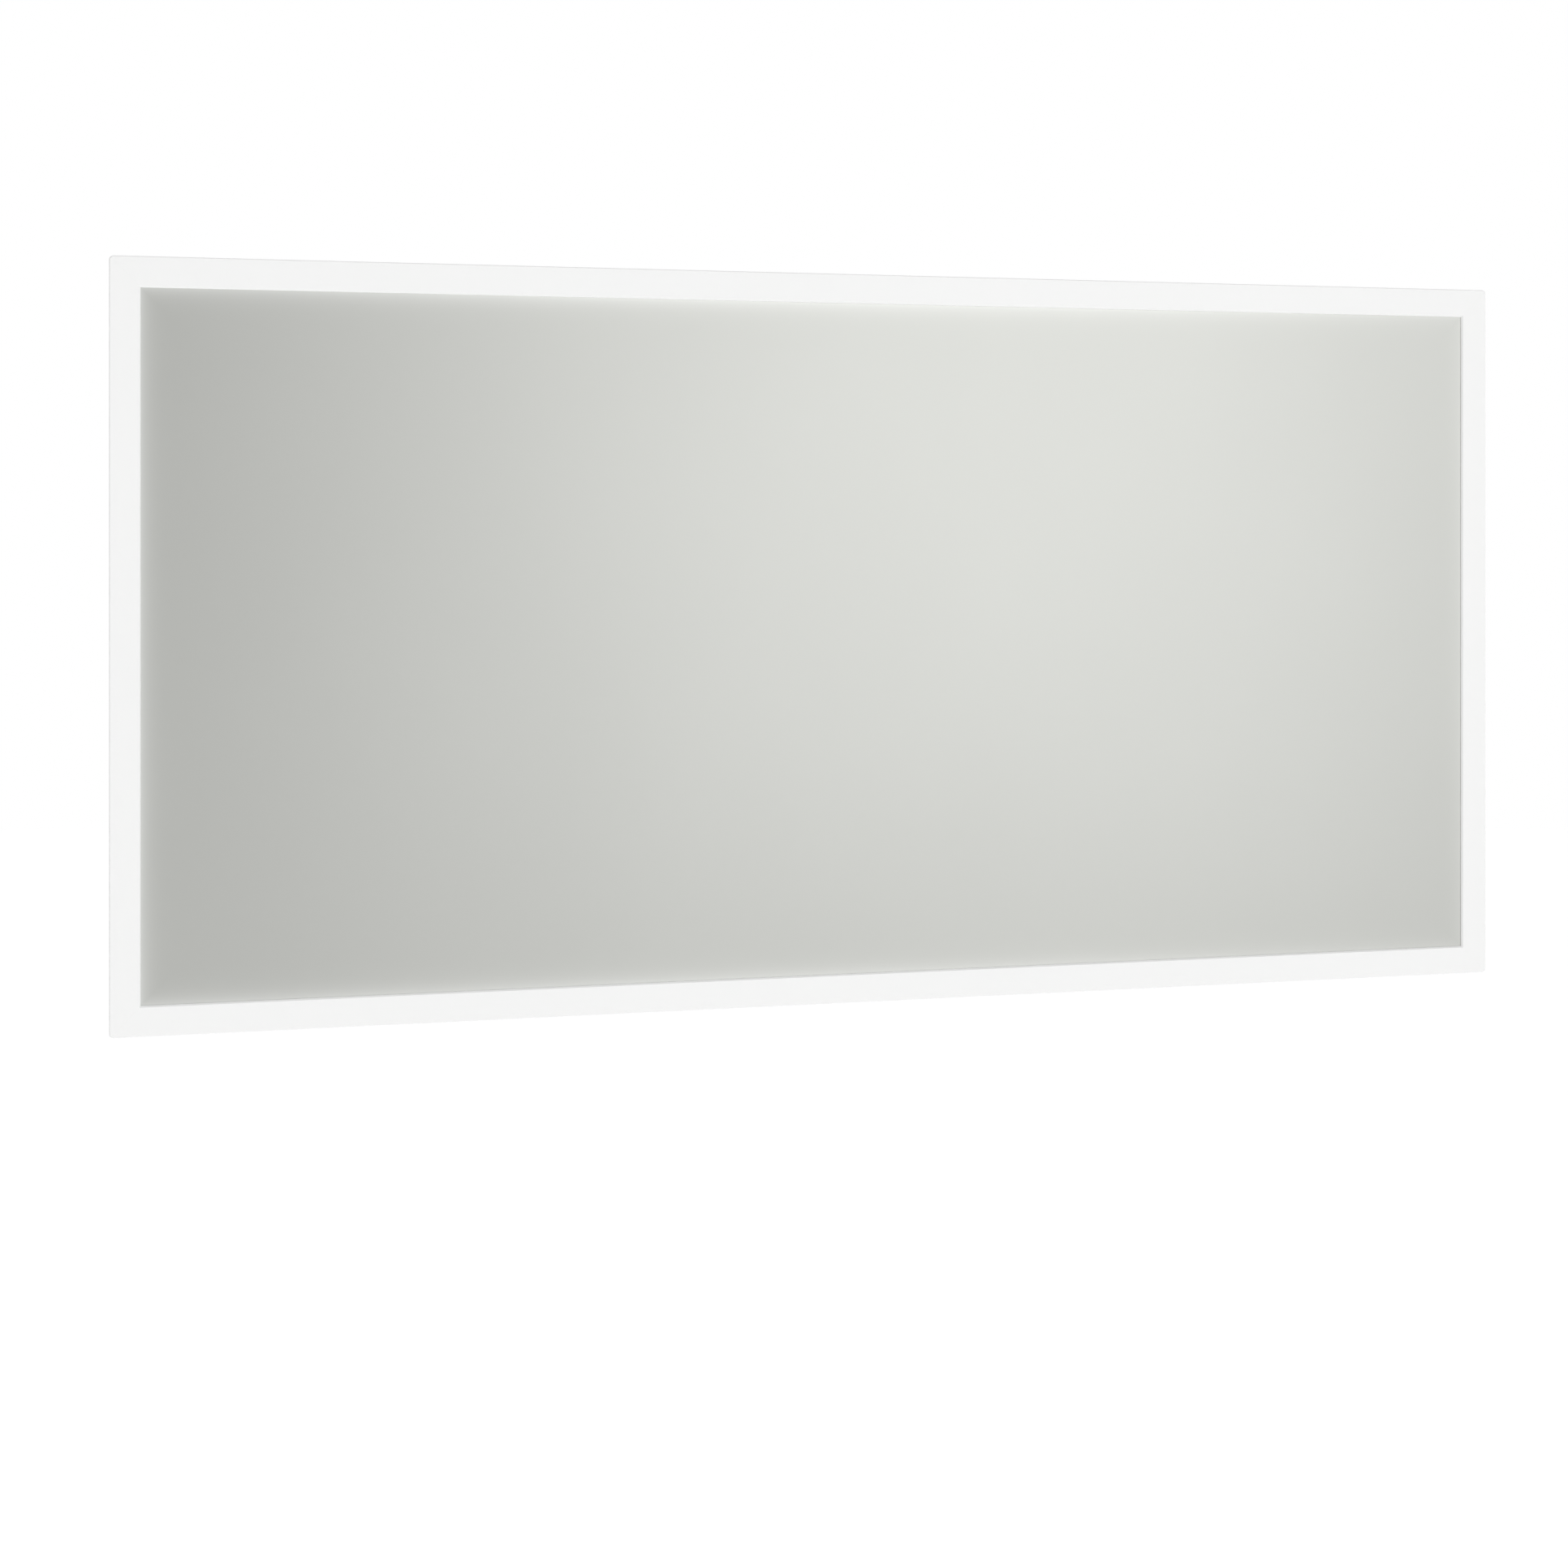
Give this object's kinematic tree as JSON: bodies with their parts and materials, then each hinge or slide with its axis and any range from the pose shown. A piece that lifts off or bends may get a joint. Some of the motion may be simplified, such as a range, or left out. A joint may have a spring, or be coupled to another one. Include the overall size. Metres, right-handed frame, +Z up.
{
  "type": "light table",
  "caption": "Slim rectangular edge-lit light table in a white mitred frame, hung upright on a wall rail, with a satin grey opal face, rocker switch and dimmer on its right edge.",
  "frame": {"origin": "middle of the wall rail's row of screw slots, on the wall plane", "axes": "+X along the panel's width towards its controls, +Y into the wall, +Z up; the lit face looks along -Y"},
  "size_m": [1.2035, 0.044, 0.6],
  "materials": {
    "white_coat": "satin powder coat",
    "opal_face": "satin opal acrylic, unlit",
    "seal_rubber": "soft white rubber",
    "opal_film": "matt white film",
    "guide_acrylic": "polished clear acrylic with a printed dot pattern",
    "grey_foam": "closed-cell foam",
    "mill_aluminium": "mill finish",
    "thermal_tape": "white adhesive tape",
    "strip_board": "white solder mask",
    "led_phosphor": "silicone over white phosphor",
    "cover_coat": "light grey-white powder coat",
    "zinc_screws": "bright zinc plate",
    "black_rubber": "matt",
    "galvanised_steel": "galvanised, fine spangle",
    "green_board": "green solder mask",
    "brass_pillars": "nickelled brass",
    "ferrite": "dark ferrite",
    "can_sleeve": "shrunk sleeve and bare can end",
    "chip_epoxy": "black epoxy",
    "terminal_plastic": "green moulded plastic",
    "lead_jacket": "white flexible insulation",
    "clip_nylon": "natural nylon",
    "black_plastic": "fine moulded texture",
    "contact_metal": "bright nickel plate"
  },
  "bodies": {
    "wall_rail": {"wall_rail": "galvanised_steel"},
    "panel": {"frame_rail_top": "white_coat", "frame_rail_bottom": "white_coat", "frame_rail_left": "white_coat", "frame_rail_right": "white_coat", "work_surface": "opal_face", "front_gasket": "seal_rubber", "face_setting_blocks": "seal_rubber", "light_guide_stops": "seal_rubber", "diffuser_sheet": "opal_film", "reflector_sheet": "opal_film", "light_guide": "guide_acrylic", "foam_pad": "grey_foam", "inner_plate": "mill_aluminium", "corner_keys": "mill_aluminium", "board_heat_sink": "mill_aluminium", "thermal_tapes": "thermal_tape", "led_bar_top": "strip_board", "led_bar_bottom": "strip_board", "leds_top": "led_phosphor", "leds_bottom": "led_phosphor", "back_cover": "cover_coat", "cover_screws": "zinc_screws", "corner_key_screws": "zinc_screws", "foot_screws": "zinc_screws", "foot_nuts": "zinc_screws", "hanger_screws": "zinc_screws", "board_screws": "zinc_screws", "rubber_feet": "black_rubber", "hanger_rail": "galvanised_steel", "hanger_backing_bar": "galvanised_steel", "driver_board": "green_board", "board_standoffs": "brass_pillars", "board_inductors": "ferrite", "board_capacitors": "can_sleeve", "board_chips": "chip_epoxy", "board_terminals": "terminal_plastic", "led_lead_top": "lead_jacket", "led_lead_bottom": "lead_jacket", "switch_lead": "lead_jacket", "dimmer_lead": "lead_jacket", "jack_lead": "lead_jacket", "lead_clips": "clip_nylon", "switch_body": "black_plastic", "dimmer_body": "black_plastic", "switch_blades": "contact_metal", "dimmer_nut": "contact_metal", "jack_shell": "contact_metal", "jack_pin": "contact_metal", "jack_nut": "contact_metal"},
    "rocker": {"switch_rocker": "black_plastic"},
    "dimmer": {"dimmer_knob": "black_plastic", "dimmer_shaft": "contact_metal"}
  },
  "joints": [
    {"name": "panel_lift", "type": "slide", "parent": "wall_rail", "child": "panel", "axis": [0, 0, 1], "range_m": [0, 0.016]},
    {"name": "power_rocker", "type": "hinge", "parent": "panel", "child": "rocker", "pos_m": [0.5935, -0.0211, -0.39], "axis": [0, -1, 0], "range_deg": [0, 16]},
    {"name": "dimmer_turn", "type": "hinge", "parent": "panel", "child": "dimmer", "pos_m": [0.595, -0.0211, -0.43], "axis": [1, 0, 0], "range_deg": [0, 270]}
  ]
}
